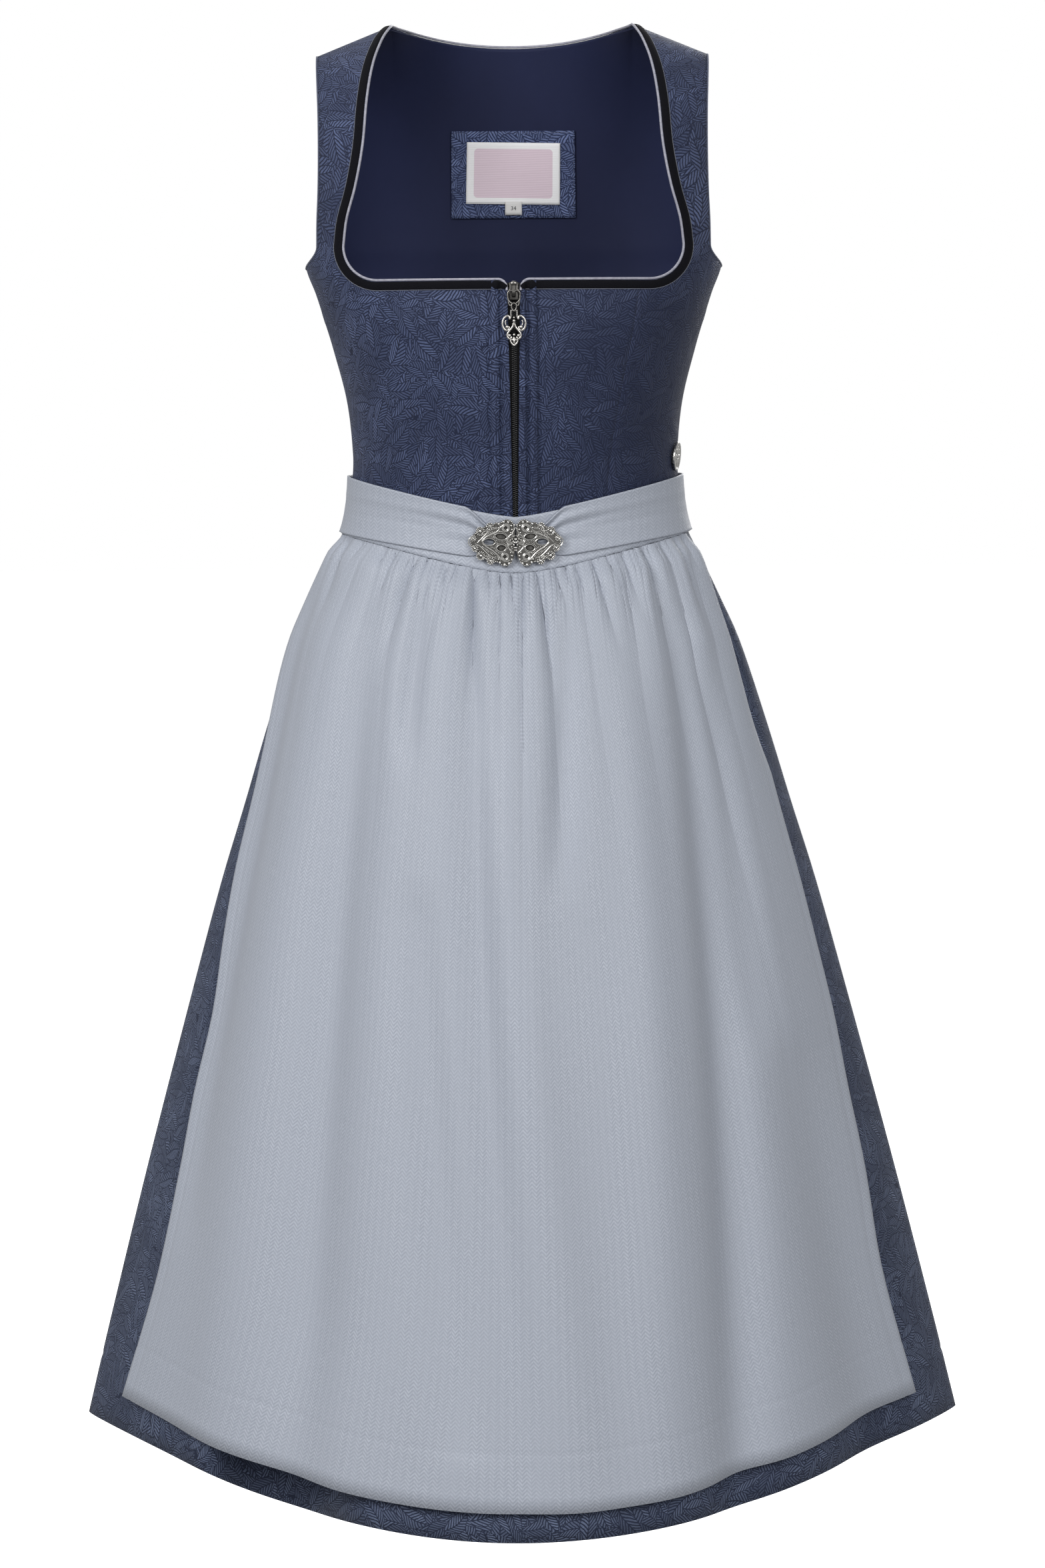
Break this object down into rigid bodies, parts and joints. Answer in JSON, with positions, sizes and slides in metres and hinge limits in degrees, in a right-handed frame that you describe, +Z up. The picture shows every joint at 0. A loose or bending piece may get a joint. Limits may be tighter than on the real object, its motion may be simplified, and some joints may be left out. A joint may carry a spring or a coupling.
{
  "type": "dirndl dress with apron",
  "caption": "Sleeveless folk dress with a fitted zip bodice, a gathered skirt, and an apron whose ties meet at a pierced metal clasp.",
  "frame": {"origin": "midway between the two shoulder straps, level with their tops, where the wearer's shoulders carry the dress", "axes": "+Z up, the front of the dress faces -Y, and +X points to the wearer's left"},
  "size_m": [0.648, 0.4786, 1.0671],
  "materials": {
    "leaf_cotton": "slate-blue cotton with a tone-on-tone leaf print",
    "navy_lining": "smooth navy lining",
    "black_velvet": "black cut velvet with a thin grey edge",
    "silver_piping": "silver-grey corded satin",
    "black_zip": "black woven tape and small coated teeth",
    "old_silver": "antique silver casting, dark in its recesses and bright on its beads",
    "apron_cloth": "silver-blue herringbone weave with a soft sheen",
    "label_cloth": "white satin label with a plain pink field"
  },
  "bodies": {
    "dress": {"bodice_centre_left": "leaf_cotton", "bodice_centre_right": "leaf_cotton", "bodice_side_left": "leaf_cotton", "bodice_side_right": "leaf_cotton", "bodice_back": "leaf_cotton", "back_lining": "navy_lining", "neck_velvet": "black_velvet", "neck_piping": "silver_piping", "zip_tape": "black_zip", "zip_chain": "black_zip", "zip_slider": "old_silver", "label_patch": "leaf_cotton", "neck_label": "label_cloth", "size_tab": "label_cloth", "skirt_front": "leaf_cotton", "skirt_back": "leaf_cotton", "apron": "apron_cloth", "apron_band": "apron_cloth", "tie_left": "apron_cloth", "tie_right": "apron_cloth", "clasp_left": "old_silver", "clasp_right": "old_silver", "waist_badge": "old_silver"},
    "link": {"pull_link": "old_silver"},
    "pendant": {"pull_pendant": "old_silver"}
  },
  "joints": [
    {"name": "link_swing", "type": "hinge", "parent": "dress", "child": "link", "pos_m": [0, -0.12508, -0.19387], "axis": [-1, 0, 0], "range_deg": [0, 150]},
    {"name": "pendant_swing", "type": "hinge", "parent": "link", "child": "pendant", "pos_m": [0, -0.12508, -0.20777], "axis": [-1, 0, 0], "range_deg": [0, 90]}
  ]
}
